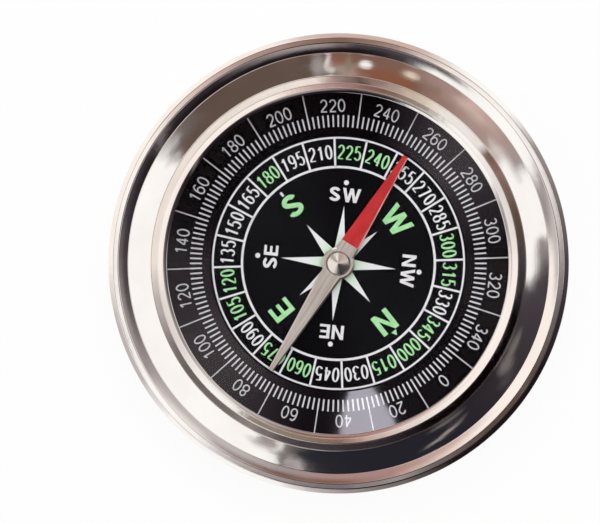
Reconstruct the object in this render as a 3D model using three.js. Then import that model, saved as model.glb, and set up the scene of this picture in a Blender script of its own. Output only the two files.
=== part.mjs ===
// Magnetic needle compass in a pressed stainless-steel case. Millimetres, +Z up.
// The origin is the centre of the flat base. +Y points to the north mark of the dial.
import * as THREE from "three";

// Fits shared by all pieces
const seatGap = 0.05; // between two faces that rest on each other
const crimpGap = 0.1; // curl of the case to the hem that it holds
const fitGap = 0.05; // all round a pin or boss in its hole
const pocketGap = 0.3; // all round a loose ring or disc in its pocket

// Case and bezel, both pressed from sheet
const caseDiameter = 75; // over the curled rim
const caseSheet = 0.5;
const brimWidth = 5.25; // rim of the case to the wall of its cup
const wallTaper = 0.6; // how much the cup narrows from flange to base
const baseRound = 5;
const flangeRound = 0.9;
const rimRound = 0.55; // brim into the upright rim
const curlWidth = 1.65; // rim of the case to the end of its curl
const curlSide = 0.85; // crown of the curl down to the upright rim
const curlSideRound = 0.7;
const curlShoulder = 0.75; // rim to the shoulder between the curl's side and its crown
const curlShoulderFall = 0.16; // how much lower the shoulder is than the crown
const curlShoulderRound = 0.9;
const bezelSheet = 0.5;
const rimWidth = 3.2; // rim of the case to the valley of the bezel
const bandRun = 3.85; // sloping band, from its foot at the bead to the valley
const flankRun = 1.25; // steep flank under the bead
const beadWidth = 1.65;
const bezelRise = 5.6; // valley to the crest of the bead
const bandSlope = 25; // degrees
const lipDepth = 0.9; // crest of the bead to the end of its turned-in lip
const lipRound = 0.8; // bead into the lip
const beadRound = 0.55; // bead into the flank
const footRound = 0.3;
const valleyRound = 0.2;
const hemRise = 0.36; // valley to the flat hem that the case curls over
const hemRound = 0.5;
const hemInset = 1.35; // rim of the case to the edge of the hem

// Window
const crystalThickness = 1.2;
const crystalBevel = 0.2;
const gasketThickness = 0.3;
const gasketInset = 0.15; // window to the gasket's inner edge
const headroom = 0.35; // top of the needle's cap to the crystal

// Dial and scale
const spacerHeight = 9;
const spacerWall = 1.4;
const spacerLedge = 6; // width of the ledge that carries the dial
const spacerLedgeThickness = 1.4;
const dialThickness = 0.6;
const scaleWidth = 6.65; // window to the inner edge of the scale ring
const scaleSheet = 0.9;
const scaleEdge = 0.35; // height of the scale ring's inner edge over the dial
const scaleWall = 0.6; // outer wall of the scale ring, which the crystal sits on
const scaleStep = 0.3; // crystal seat over the printed slope

// Needle and its bearing
const pivotHeight = 1.5; // dial to the tip of the pin
const pinDiameter = 0.6;
const pinPoint = 0.8; // length of the ground point
const pinSunk = 0.9; // length of the pin held in the post
const postShoulder = 1.5; // radius of the post on the dial
const postStem = 0.9;
const postRivet = 1.5;
const postRivetHeight = 0.5;
const postClearance = 0.25; // post to the underside of the turning hub
const needleThickness = 0.3;
const needleWidth = 3.7; // over both edges, where they would meet the centre line
const needleTip = 0.85; // width of the blunted tips
const needleBoss = 2.65; // radius
const needleDrop = 0.55; // tip of the pin down to the underside of the needle
const needleBearing = 251.6; // degrees clockwise from the north mark
const tipClearance = 0.3; // tip of the needle to the scale ring
const jewelRadius = 0.75;
const jewelHeight = 0.8;
const jewelRoof = 0.3;
const jewelMouth = 0.45;
const pivotPlay = 0.05; // tip of the pin to the apex of the jewel
const hubNeck = 1.25;
const hubCollar = 1.55;
const hubCollarHeight = 0.2;
const hubCap = 2;
const hubCapEdge = 0.3;
const hubCapSlope = 26; // degrees

// Facets round a turn
const largeFacets = 60;
const smallFacets = 24;
const arcStep = Math.PI / 6; // coarsest step along a rounding
const arcError = 0.05; // furthest a rounding's facets lie from it

// Radii, from the rim inwards
const rimRadius = caseDiameter / 2;
const wallRadius = rimRadius - brimWidth;
const valleyRadius = rimRadius - rimWidth;
const footRadius = valleyRadius - bandRun;
const beadRadius = footRadius - flankRun;
const windowRadius = beadRadius - beadWidth;
const crystalRadius = beadRadius - bezelSheet - pocketGap;
const dialRadius = crystalRadius - scaleWall - fitGap;
const scaleRadius = windowRadius - scaleWidth;
const needleReach = scaleRadius - tipClearance;

// Heights, from the base up
const dialSeat = caseSheet + seatGap + spacerHeight;
const dialTop = dialSeat + seatGap + dialThickness;
const pinTip = dialTop + pivotHeight;
const needleBottom = pinTip - needleDrop;
const needleTop = needleBottom + needleThickness;
const capBottom = needleTop + seatGap;
const capTop = capBottom + hubCapEdge + hubCap * Math.tan(THREE.MathUtils.degToRad(hubCapSlope));
const crystalBottom = capTop + headroom;
const crystalTop = crystalBottom + crystalThickness;
const gasketTop = crystalTop + seatGap + gasketThickness;
const lipEnd = gasketTop + seatGap;
const crest = lipEnd + lipDepth;
const valley = crest - bezelRise;
const hem = valley + hemRise;

// A line through corners [radius, height, rounding], with each corner rounded as far as its sides allow.
function roundedLine(corners) {
  const at = corners.map(([radius, height]) => new THREE.Vector2(radius, height));
  const line = [at[0]];
  for (let i = 1; i < at.length - 1; i++) {
    const back = at[i - 1].clone().sub(at[i]);
    const on = at[i + 1].clone().sub(at[i]);
    const backRoom = back.length() * (i === 1 ? 0.95 : 0.49);
    const onRoom = on.length() * (i === at.length - 2 ? 0.95 : 0.49);
    const room = Math.min(backRoom, onRoom);
    const half = Math.acos(back.normalize().dot(on.normalize())) / 2;
    const setback = Math.min(corners[i][2] / Math.tan(half), room);
    const rounding = setback * Math.tan(half);
    const centre = back.clone().add(on).setLength(rounding / Math.sin(half)).add(at[i]);
    const start = back.multiplyScalar(setback).add(at[i]).sub(centre);
    const end = on.multiplyScalar(setback).add(at[i]).sub(centre);
    const sweep = Math.atan2(start.cross(end), start.dot(end));
    const step = Math.min(arcStep, 2 * Math.acos(Math.max(0, 1 - arcError / rounding)));
    const steps = Math.max(1, Math.ceil(Math.abs(sweep) / step - 0.01));
    for (let k = 0; k <= steps; k++) {
      const spoke = start.clone().rotateAround(new THREE.Vector2(), (sweep * k) / steps);
      line.push(spoke.add(centre));
    }
  }
  line.push(at[at.length - 1]);
  return line;
}

// The line moved sideways, to its left where the distance is positive.
function offsetLine(line, distance) {
  const normals = line.slice(1).map((point, i) => {
    const along = point.clone().sub(line[i]).normalize();
    return new THREE.Vector2(-along.y, along.x);
  });
  return line.map((point, i) => {
    const before = normals[Math.max(i - 1, 0)];
    const after = normals[Math.min(i, normals.length - 1)];
    const mitre = before.clone().add(after).normalize();
    return mitre.multiplyScalar(distance / mitre.dot(after)).add(point);
  });
}

// Section of bent sheet whose skin is the line, with its thickness to the left of it where positive.
function sheetSection(skin, thickness) {
  return [...skin, ...offsetLine(skin, thickness).reverse()];
}

// A section [radius, height] turned about the Z axis. It starts and ends on the axis, or is closed here.
function turned(section, facets) {
  const points = section.map((p) => (p.isVector2 ? p.clone() : new THREE.Vector2(p[0], p[1])));
  if (THREE.ShapeUtils.area(points) < 0) points.reverse();
  const onAxis = points.some((p) => p.x === 0);
  if (onAxis) {
    while (!(points[0].x === 0 && points[points.length - 1].x === 0)) points.push(points.shift());
  } else {
    points.push(points[0].clone());
  }
  return new THREE.LatheGeometry(points, facets).rotateX(Math.PI / 2);
}

const finish = (color, roughness, metalness) =>
  new THREE.MeshStandardMaterial({ color, roughness, metalness });
const polishedSteel = finish(0xd9d4d0, 0.08, 1);
const clearGlass = finish(0xf2f6f6, 0.02, 0);
const blackRubber = finish(0x151515, 0.8, 0);
const blackGloss = finish(0x17141a, 0.25, 0);
const blackEnamel = finish(0x0d0d12, 0.45, 0);
const whitePlastic = finish(0xd8d6cf, 0.6, 0);
const brass = finish(0xb08d4a, 0.3, 1);
const hardSteel = finish(0x8f9296, 0.25, 1);
const needleSteel = finish(0xbdb3a6, 0.4, 1);
const nickel = finish(0xcfc6bb, 0.15, 1);
const ruby = finish(0xa3243a, 0.1, 0);

// Pressed bezel: turned-in lip, bead, steep flank, sloping band, valley and the hem under the case's curl.
function bezelSkin() {
  const slope = Math.tan(THREE.MathUtils.degToRad(bandSlope));
  const foot = valley + bandRun * slope;
  const hemStart = rimRadius - curlWidth;
  return roundedLine([
    [windowRadius, lipEnd],
    [windowRadius, crest, lipRound],
    [beadRadius, crest, beadRound],
    [footRadius, foot, footRound],
    [valleyRadius, valley, valleyRound],
    [hemStart, hem, hemRound],
    [rimRadius - hemInset, hem],
  ]);
}

function bezel() {
  return turned(sheetSection(bezelSkin(), -bezelSheet), largeFacets);
}

// Drawn rear case: flat base, cup, brim under the bezel, and a rim curled up and over the bezel's hem.
function rearCase() {
  const bezelUnderside = Math.min(...offsetLine(bezelSkin(), -bezelSheet).map((p) => p.y));
  const brim = bezelUnderside - seatGap - caseSheet;
  const curlTop = hem + crimpGap + caseSheet;
  const skin = roundedLine([
    [0, 0],
    [wallRadius - wallTaper, 0, baseRound],
    [wallRadius, brim, flangeRound],
    [rimRadius, brim, rimRound],
    [rimRadius, curlTop - curlSide, curlSideRound],
    [rimRadius - curlShoulder, curlTop - curlShoulderFall, curlShoulderRound],
    [rimRadius - curlWidth, curlTop],
  ]);
  return turned(sheetSection(skin, caseSheet), largeFacets);
}

// Flat glass with a small bevel on both edges.
function crystal() {
  return turned(
    [
      [0, crystalBottom],
      [crystalRadius - crystalBevel, crystalBottom],
      [crystalRadius, crystalBottom + crystalBevel],
      [crystalRadius, crystalTop - crystalBevel],
      [crystalRadius - crystalBevel, crystalTop],
      [0, crystalTop],
    ],
    largeFacets,
  );
}

// Flat ring between the glass and the bezel's lip.
function crystalGasket() {
  const inner = windowRadius + gasketInset;
  const bottom = crystalTop + seatGap;
  const outer = crystalRadius - crystalBevel;
  return turned([[inner, bottom], [outer, bottom], [outer, gasketTop], [inner, gasketTop]], largeFacets);
}

// Moulded scale ring: a thin slope for the degree scale, with its toe on the dial, and an outer wall that
// stands on the spacer round the dial and carries the glass.
function degreeRing() {
  const toe = dialTop + seatGap;
  const bottom = dialSeat + seatGap;
  const seat = crystalBottom - seatGap;
  const slopeTop = seat - scaleStep;
  const wall = crystalRadius - scaleWall;
  return turned(
    [
      [scaleRadius, toe],
      [scaleRadius, toe + scaleEdge],
      [wall, slopeTop],
      [wall, seat],
      [crystalRadius, seat],
      [crystalRadius, bottom],
      [wall, bottom],
      [wall, slopeTop - scaleSheet],
      [scaleRadius + scaleSheet, toe],
    ],
    largeFacets,
  );
}

// Dial plate with the hole that its pivot post is riveted through.
function dialPlate() {
  const hole = postStem + fitGap;
  const bottom = dialTop - dialThickness;
  return turned([[hole, bottom], [dialRadius, bottom], [dialRadius, dialTop], [hole, dialTop]], largeFacets);
}

// Spacer that stands on the base inside the cup: a round wall under a ledge for the dial and the scale ring.
function dialSpacer() {
  const foot = caseSheet + seatGap;
  const outer = wallRadius - wallTaper - baseRound;
  const inner = outer - spacerWall;
  const ledge = dialSeat - spacerLedgeThickness;
  return turned(
    [
      [inner, foot],
      [outer, foot],
      [outer, ledge],
      [crystalRadius, ledge],
      [crystalRadius, dialSeat],
      [crystalRadius - spacerLedge, dialSeat],
      [crystalRadius - spacerLedge, ledge],
      [inner, ledge],
    ],
    largeFacets,
  );
}

// Post riveted through the dial, with a blind hole for the pin.
function pivotPost() {
  const hole = pinDiameter / 2 + fitGap;
  const top = needleBottom - seatGap - hubCollarHeight - postClearance;
  const holeBottom = top - pinSunk - seatGap;
  const underside = dialTop - dialThickness - seatGap;
  return turned(
    [
      [0, underside - postRivetHeight],
      [postRivet, underside - postRivetHeight],
      [postRivet, underside],
      [postStem, underside],
      [postStem, dialTop + seatGap],
      [postShoulder, dialTop + seatGap],
      [hole + (postShoulder - hole) / 2, top],
      [hole, top],
      [hole, holeBottom],
      [0, holeBottom],
    ],
    smallFacets,
  );
}

// Hard steel pin, ground to a point.
function pivotPin() {
  const radius = pinDiameter / 2;
  const bottom = needleBottom - seatGap - hubCollarHeight - postClearance - pinSunk;
  return turned([[0, bottom], [radius, bottom], [radius, pinTip - pinPoint], [0, pinTip]], smallFacets);
}

// Flat steel needle: two long tapers that run into a round boss. It lies along +Y, with north at +Y.
function needle() {
  const half = needleWidth / 2;
  const tip = needleTip / 2;
  const taper = (half - tip) / needleReach;
  // Where the edge x = half - taper * y leaves the boss.
  const a = 1 + taper * taper;
  const b = -2 * half * taper;
  const c = half * half - needleBoss * needleBoss;
  const leave = (-b + Math.sqrt(b * b - 4 * a * c)) / (2 * a);
  const angle = Math.atan2(leave, half - taper * leave);
  const outline = new THREE.Shape();
  outline.moveTo(tip, needleReach);
  outline.lineTo(-tip, needleReach);
  outline.absarc(0, 0, needleBoss, Math.PI - angle, Math.PI + angle, false);
  outline.lineTo(-tip, -needleReach);
  outline.lineTo(tip, -needleReach);
  outline.absarc(0, 0, needleBoss, -angle, angle, false);
  outline.holes.push(new THREE.Path().absarc(0, 0, hubNeck + fitGap, 0, 2 * Math.PI, true));
  return new THREE.ExtrudeGeometry(outline, {
    depth: needleThickness,
    bevelEnabled: false,
    curveSegments: smallFacets / 2,
  }).translate(0, 0, needleBottom);
}

// Turned hub riveted through the needle: conical cap above, collar below, bored for the jewel.
function needleHub() {
  const bore = jewelRadius + fitGap;
  const boreTop = pinTip + pivotPlay + jewelRoof + seatGap;
  const collarTop = needleBottom - seatGap;
  return turned(
    [
      [0, boreTop],
      [bore, boreTop],
      [bore, collarTop - hubCollarHeight],
      [hubCollar, collarTop - hubCollarHeight],
      [hubCollar, collarTop],
      [hubNeck, collarTop],
      [hubNeck, capBottom],
      [hubCap, capBottom],
      [hubCap, capBottom + hubCapEdge],
      [0, capTop],
    ],
    smallFacets,
  );
}

// Cupped jewel that turns on the tip of the pin.
function jewelBearing() {
  const apex = pinTip + pivotPlay;
  const top = apex + jewelRoof;
  return turned(
    [
      [0, apex],
      [jewelMouth, top - jewelHeight],
      [jewelRadius, top - jewelHeight],
      [jewelRadius, top],
      [0, top],
    ],
    smallFacets,
  );
}

// The assembly: what stands still, and what turns on the pin.
const compass = new THREE.Group();
const fixed = new THREE.Group();
const turning = new THREE.Group();
turning.rotation.z = -THREE.MathUtils.degToRad(needleBearing);
compass.add(fixed, turning);

function place(group, name, geometry, material) {
  const mesh = new THREE.Mesh(geometry, material);
  mesh.name = name;
  group.add(mesh);
}

place(fixed, "rear_case", rearCase(), polishedSteel);
place(fixed, "bezel", bezel(), polishedSteel);
place(fixed, "crystal", crystal(), clearGlass);
place(fixed, "crystal_gasket", crystalGasket(), blackRubber);
place(fixed, "degree_ring", degreeRing(), blackGloss);
place(fixed, "dial_plate", dialPlate(), blackEnamel);
place(fixed, "dial_spacer", dialSpacer(), whitePlastic);
place(fixed, "pivot_post", pivotPost(), brass);
place(fixed, "pivot_pin", pivotPin(), hardSteel);
place(turning, "needle", needle(), needleSteel);
place(turning, "needle_hub", needleHub(), nickel);
place(turning, "jewel_bearing", jewelBearing(), ruby);

export default compass;
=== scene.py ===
# %% [markdown]
# # A needle compass in pressed steel
# A hiking compass is a steel cup with a printed dial in it, a sloping degree ring round the dial, a flat
# glass, and a needle that turns on a point. The solids come in ready at their real size and place. This
# lesson dresses them: smooth steel, print, paint and glass, all made in code. The first cell loads the
# solids and gives a helper for the box that each of them fills.

# %% Load the solids
import math

import bmesh
import bpy
from mathutils import Matrix, Vector


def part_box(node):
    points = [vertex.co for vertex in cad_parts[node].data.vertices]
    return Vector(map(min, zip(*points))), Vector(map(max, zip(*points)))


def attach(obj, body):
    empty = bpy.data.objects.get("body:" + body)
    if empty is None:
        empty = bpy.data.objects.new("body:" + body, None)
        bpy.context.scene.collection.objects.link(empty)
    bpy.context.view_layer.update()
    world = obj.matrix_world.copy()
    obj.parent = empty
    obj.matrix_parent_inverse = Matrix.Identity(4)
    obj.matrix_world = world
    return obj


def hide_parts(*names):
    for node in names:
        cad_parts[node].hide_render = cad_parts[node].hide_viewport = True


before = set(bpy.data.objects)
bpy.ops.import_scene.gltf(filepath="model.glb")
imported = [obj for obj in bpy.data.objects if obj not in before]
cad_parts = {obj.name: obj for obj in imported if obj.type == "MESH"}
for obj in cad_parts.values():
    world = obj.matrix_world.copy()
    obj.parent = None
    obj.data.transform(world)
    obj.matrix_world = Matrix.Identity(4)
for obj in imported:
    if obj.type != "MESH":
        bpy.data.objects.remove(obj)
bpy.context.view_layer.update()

mm = 0.001  # Blender works in metres here, and this object is easier to think of in millimetres
scene = bpy.context.scene
scene.view_settings.view_transform = "Standard"
print("solids", sorted(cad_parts))

# %% [markdown]
# ## The camera
# The picture looks almost straight down, about one degree off, so the raised lip of the glass is hardly
# shifted against the dial. A long lens from 70 cm keeps the circles round. The directions of the picture
# are given by one angle, clockwise from its right edge, and the north mark of the dial lies at
# `north_in_picture`. Lens and shift then follow from how large the compass is in the frame and where its
# centre lies.

# %% Camera at the picture's viewing angle
picture_width = 600
picture_height = 523
dial_centre = (338.4, 263.4)  # pixels, from the top left corner
pixels_per_mm = 6.143
north_in_picture = 50.7  # degrees
view_tilt = 1.2  # degrees off vertical
tilt_towards = 0  # direction in the picture
camera_distance = 700  # mm
sensor_width = 36


def in_picture(angle):
    """Level direction that points that many degrees clockwise from the right edge of the picture."""
    bearing = math.radians(angle - north_in_picture)
    return Vector((math.sin(bearing), math.cos(bearing), 0))


def add_object(name, data):
    """New object in the scene."""
    thing = bpy.data.objects.new(name, data)
    scene.collection.objects.link(thing)
    return thing


aim = Vector((0, 0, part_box("dial_plate")[1].z))
tilt = math.radians(view_tilt)
back = Vector((0, 0, math.cos(tilt))) + in_picture(tilt_towards) * math.sin(tilt)
across = in_picture(-90).cross(back).normalized()
camera_data = bpy.data.cameras.new("picture_camera")
camera = add_object("picture_camera", camera_data)
axes = Matrix((across, back.cross(across), back)).transposed()
camera.matrix_world = Matrix.Translation(aim + back * camera_distance * mm) @ axes.to_4x4()
camera_data.sensor_width = sensor_width
camera_data.lens = sensor_width * camera_distance * pixels_per_mm / picture_width
camera_data.shift_x = (picture_width / 2 - dial_centre[0]) / picture_width
camera_data.shift_y = (dial_centre[1] - picture_height / 2) / picture_width
camera_data.clip_start = 0.01
scene.camera = camera
print("lens", round(camera_data.lens, 1))
print("shift", round(camera_data.shift_x, 4), round(camera_data.shift_y, 4))

# %% [markdown]
# ## Helpers for nodes
# Room, table and finishes are all shaded with nodes, and in code a node takes several lines to add, set and
# link. A few helpers make that one line each: a node with its inputs by name, a sum, a soft step, a colour
# ramp, and a mix of two colours or two shaders. What they build can be opened in the shader editor.

# %% Nodes and sums
def feed(tree, socket, value):
    """Links a node's output to the socket, or sets the socket to a plain value."""
    if isinstance(value, bpy.types.NodeSocket):
        tree.links.new(value, socket)
    else:
        socket.default_value = value


def fill(tree, node, **inputs):
    """Feeds the inputs of a node by their names, with _ for a space."""
    for name, value in inputs.items():
        feed(tree, node.inputs[name.replace("_", " ")], value)


def node_of(tree, kind, settings=None, **inputs):
    """New node of a kind, named without the ShaderNode in front, with its settings and inputs."""
    node = tree.nodes.new("ShaderNode" + kind)
    for name, value in (settings or {}).items():
        setattr(node, name, value)
    fill(tree, node, **inputs)
    return node


def sum_of(tree, operation, *values):
    """Result of one step of arithmetic on numbers or outputs."""
    node = node_of(tree, "Math", {"operation": operation})
    for socket, value in zip(node.inputs, values):
        feed(tree, socket, value)
    return node.outputs[0]


def vector_of(tree, operation, vector, other=(0, 0, 0)):
    """Node for a vector and a fixed second one."""
    node = node_of(tree, "VectorMath", {"operation": operation})
    tree.links.new(vector, node.inputs[0])
    node.inputs[1].default_value = other
    return node


# %% Soft steps, ramps and mixes
def fade(tree, value, start, end, low=0.0, high=1.0, kind="SMOOTHSTEP"):
    """Value turned into a step that goes from low at start to high at end."""
    step = node_of(tree, "MapRange", {"interpolation_type": kind}, Value=value,
                   From_Min=start, From_Max=end, To_Min=low, To_Max=high)
    return step.outputs[0]


def ramp_of(tree, position, stops):
    """Colour ramp from a list of (position, colour)."""
    ramp = node_of(tree, "ValToRGB")
    points = ramp.color_ramp.elements
    while len(points) > 1:
        points.remove(points[-1])
    points[0].position = stops[0][0]
    points[0].color = (*stops[0][1], 1)
    for place, colour in stops[1:]:
        points.new(place).color = (*colour, 1)
    feed(tree, ramp.inputs[0], position)
    return ramp.outputs[0]


def mix_colour(tree, share, first, second):
    mix = node_of(tree, "Mix", {"data_type": "RGBA"}, Factor=share, A=first, B=second)
    return mix.outputs["Result"]


def show_mix(tree, share, first, second, output):
    """Puts out a mix of two shaders as the surface."""
    mix = node_of(tree, "MixShader", Fac=share)
    tree.links.new(first.outputs[0], mix.inputs[1])
    tree.links.new(second.outputs[0], mix.inputs[2])
    tree.links.new(mix.outputs[0], node_of(tree, output).inputs["Surface"])


# %% [markdown]
# ## The room that the steel mirrors
# Polished steel has hardly any colour of its own: what it shows is the room. A picture of a room could be
# used, but a few colours by direction are enough and stay adjustable. Each part of the rim looks another
# way: its outer side at the ground, the flank at the foot of the walls, the band at the walls, the lip, the
# hem and the curl high up, the bead at the ceiling. So rings of colour run round the room, one over the
# other, and small things such as lamps and dark gaps stand before them. The rings lean a little, so that
# the tilted camera meets each at the same height all round. To the camera the room is white.

# %% Room palette
paper = (1.0, 0.985, 0.97)
cream = (1.0, 0.92, 0.87)
pale = (0.78, 0.72, 0.70)
silver = (0.54, 0.50, 0.50)
ash = (0.34, 0.30, 0.30)
grey = (0.17, 0.15, 0.145)
haze = (0.065, 0.053, 0.062)
dusk = (0.032, 0.025, 0.031)
slate = (0.018, 0.018, 0.025)
night = (0.012, 0.008, 0.010)
soot = (0.0035, 0.0015, 0.002)
blush = (0.64, 0.47, 0.42)
rose = (0.42, 0.25, 0.24)
sand = (0.80, 0.70, 0.56)
fawn = (0.31, 0.205, 0.175)
tan = (0.40, 0.29, 0.26)
rust = (0.24, 0.095, 0.055)
umber = (0.20, 0.11, 0.08)
brown = (0.12, 0.082, 0.065)
olive = (0.26, 0.21, 0.16)
plum = (0.40, 0.345, 0.37)
lilac = (0.77, 0.71, 0.68)

# %% Lower rings of the room
ground = [  # degrees clockwise from the picture's right edge, colour
    (0, haze), (14, dusk), (28, night), (62, night), (75, grey), (90, ash), (99, silver), (107, paper),
    (138, paper), (150, silver), (166, silver), (180, cream), (250, cream), (264, blush), (290, blush),
    (302, paper), (318, paper), (328, ash), (346, grey),
]
skirting = [
    (0, haze), (16, soot), (62, soot), (75, dusk), (104, haze), (112, grey), (120, ash), (131, grey),
    (148, grey), (158, ash), (166, silver), (174, pale), (182, cream), (262, cream), (269, tan),
    (276, brown), (284, tan), (298, sand), (305, paper), (318, paper), (324, umber), (330, fawn),
    (345, brown),
]
panels = [
    (0, dusk), (88, dusk), (96, paper), (180, cream), (262, cream), (270, blush), (300, cream),
    (320, paper), (326, brown), (345, brown),
]
walls = [
    (351, paper), (355, ash), (2, grey), (8, haze), (35, dusk), (60, slate), (97, slate), (100, haze),
    (101.5, silver), (103.5, grey), (106, grey), (109, paper), (211, paper), (219, grey), (232, brown),
    (260, brown), (265, grey), (268, rust), (271, umber), (281, umber), (287, umber), (295, fawn),
    (306, tan), (314, blush), (322, tan), (334, ash), (339, paper),
]
higher_walls = [
    (3, paper), (8, haze), (35, dusk), (60, slate), (100, slate), (104.5, grey), (106.5, paper),
    (108.5, ash), (114, ash), (116, paper), (211, paper), (217, brown), (260, brown), (266, grey),
    (269, tan), (273, tan), (278, rust), (288, rust), (293, umber), (302, fawn), (314, tan), (321, tan),
    (328, paper),
]
print("lower rings", len(ground + skirting + panels + walls + higher_walls), "colours")

# %% Upper rings of the room
shelves = [
    (0, plum), (15, haze), (30, night), (105, night), (122, plum), (135, lilac), (143, lilac), (155, plum),
    (175, haze), (196, grey), (207, haze), (217, night), (250, haze), (282, haze), (298, plum),
    (315, lilac), (332, lilac), (345, plum),
]
upper_walls = [
    (0, haze), (12, dusk), (32, night), (35, grey), (38, night), (95, night), (111, dusk), (115, paper),
    (152, paper), (161, ash), (168, ash), (179, cream), (222, cream), (236, blush), (255, rose),
    (272, rose), (284, ash), (298, silver), (318, silver), (332, ash), (344, grey), (352, haze),
]
picture_rail = [
    (0, grey), (13, haze), (33, dusk), (35, ash), (37, dusk), (56, dusk), (68, grey), (76, ash), (84, ash),
    (94, haze), (110, haze), (121, grey), (128, paper), (152, paper), (158, ash), (170, silver),
    (182, silver), (191, cream), (230, cream), (246, blush), (258, rose), (270, umber), (288, umber),
    (300, ash), (309, pale), (320, pale), (331, ash), (345, ash),
]
coving = [
    (0, ash), (14, grey), (30, brown), (50, brown), (66, grey), (76, ash), (90, grey), (104, ash),
    (116, silver), (132, paper), (195, paper), (212, cream), (226, blush), (245, tan), (270, umber),
    (284, tan), (299, cream), (315, paper), (332, paper), (346, pale),
]
ceiling = [
    (0, cream), (48, cream), (64, pale), (77, blush), (91, umber), (105, olive), (121, olive), (126, paper),
    (136, paper), (150, pale), (166, pale), (182, cream), (250, cream), (258, blush), (270, rose),
    (283, umber), (300, olive), (306, paper), (320, paper), (332, pale), (346, pale),
]
print("upper rings", len(shelves + upper_walls + picture_rail + coving + ceiling), "colours")

# %% Directions in the room
wall_slant = 0.3  # how many degrees round the wall colours shift with each degree up
wall_middle = 38  # degrees up, where they don't shift
ripple = 0.03  # how far a fine noise moves all colours, in turns
sway = 0.05  # and how far a coarse one moves those of the walls
world = bpy.data.worlds.new("room")
world.use_nodes = True
scene.world = world
room = world.node_tree
room.nodes.clear()
direction = node_of(room, "TexCoord").outputs["Generated"]
lean = Vector((0, 0, 1)).rotation_difference(Vector((-back.x, -back.y, back.z)))


def along(axis):
    """How far the direction goes along an axis of the leaning room."""
    return vector_of(room, "DOT_PRODUCT", direction, lean @ axis).outputs["Value"]


def room_noise(scale, detail):
    return node_of(room, "TexNoise", Vector=direction, Scale=scale, Detail=detail).outputs[0]


height = sum_of(room, "ARCSINE", along(Vector((0, 0, 1))))
angle = sum_of(room, "ARCTAN2", along(in_picture(90)), along(in_picture(0)))
plain_turn = sum_of(room, "MULTIPLY_ADD", angle, 1 / math.tau, 0.5)
turn = sum_of(room, "MULTIPLY_ADD", room_noise(11.0, 2.0), ripple, plain_turn)
turn = sum_of(room, "SUBTRACT", turn, ripple / 2)
wall_turn = sum_of(room, "MULTIPLY_ADD", height, -wall_slant / math.tau, turn)
wall_turn = sum_of(room, "MULTIPLY_ADD", room_noise(6.0, 3.0), sway, wall_turn)
wall_turn = sum_of(room, "ADD", wall_turn, wall_slant * wall_middle / 360 - sway / 2)
print("the room leans by", round(math.degrees(lean.angle), 2), "degrees")

# %% Rings one over the other
rings = [  # degrees up where a ring starts and where it is full
    (1, 3, skirting), (14, 18, panels), (28, 31, walls), (35, 40.5, higher_walls), (46, 49, shelves),
    (61, 62.5, upper_walls), (65.5, 69, picture_rail), (71, 72.5, coving), (76.5, 78, ceiling),
]


def by_turn(stops):
    """Ramp stops in order from the picture's left edge, once round and back to the first."""
    ordered = sorted((((angle + 180) % 360) / 360, colour) for angle, colour in stops)
    return ordered + [(1.0, ordered[0][1])]


seen = ramp_of(room, turn, by_turn(ground))
for start, end, stops in rings:
    share = fade(room, height, math.radians(start), math.radians(end))
    place = wall_turn if stops in (walls, higher_walls) else turn
    seen = mix_colour(room, share, seen, ramp_of(room, place, by_turn(stops)))
print("rings over the ground", len(rings))

# %% Small things before the walls
small_things = [  # turn and height of the middle, half width, half height and slant in degrees, colour
    (43, 44.6, 26, 3.0, 0, night),
    (26, 39.8, 8, 2.2, 0, grey),
    (31.5, 38.8, 5, 3.6, 0, grey),
    (35, 35, 5, 2.5, 0, haze),
    (58.5, 36.2, 10, 0.9, -12, ash),
    (56, 40.8, 8, 0.9, 0, grey),
    (263.4, 38, 2.6, 7, 0, ash),
    (266.3, 36.5, 1.1, 6, 6, pale),
    (267.4, 40.2, 1.3, 2, 0, pale),
    (272.3, 37.5, 1.5, 6, 0, olive),
    (277.2, 36.6, 2.7, 2.6, 0, paper),
    (290.6, 36.2, 3.2, 2.2, 0, sand),
]
soft_edge = (1.05, 0.25)  # where the colour of a small thing starts and is full, 1 being its rim
turn_degrees = sum_of(room, "MULTIPLY_ADD", plain_turn, 360, -180)
height_degrees = sum_of(room, "MULTIPLY", height, 360 / math.tau)
spot = node_of(room, "CombineXYZ", X=turn_degrees, Y=height_degrees).outputs[0]
for middle, level, half_wide, half_high, slant, colour in small_things:
    inside = node_of(room, "Mapping", {"vector_type": "TEXTURE"}, Vector=spot,
                     Location=((middle + 180) % 360 - 180, level, 0), Scale=(half_wide, half_high, 1),
                     Rotation=(0, 0, math.radians(slant)))
    off = vector_of(room, "LENGTH", inside.outputs[0]).outputs["Value"]
    seen = mix_colour(room, fade(room, off, *soft_edge), seen, (*colour, 1))
print("small things", len(small_things))

# %% The room for mirrors, white for the camera
white = (1, 1, 1, 1)
mirrored = node_of(room, "Background", Color=seen, Strength=1.15)
plain = node_of(room, "Background", Color=white, Strength=1.0)
ray = node_of(room, "LightPath")
show_mix(room, ray.outputs["Is Camera Ray"], mirrored, plain, "OutputWorld")
print("room nodes", len(room.nodes))

# %% [markdown]
# ## Table and lamps
# The compass lies on a white table. A white floor under a plain lamp comes out light grey, so most of its
# brightness is given to it directly, and the rest is real light, which keeps the soft shadow. The steel
# mirrors the room's own ground, so the floor is hidden from mirrors, apart from a small disc close round
# the compass that is there for mirrors alone. An oval lamp stands for the window: it lights the dial through
# the glass, and the gloss ring mirrors it. A wide second lamp fills in and is hidden from mirrors too.

# %% Helpers for the table
def circle(radius, steps, level=0):
    """Points of a level circle."""
    spots = [k * math.tau / steps for k in range(steps)]
    return [(radius * math.cos(a), radius * math.sin(a), level) for a in spots]


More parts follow.
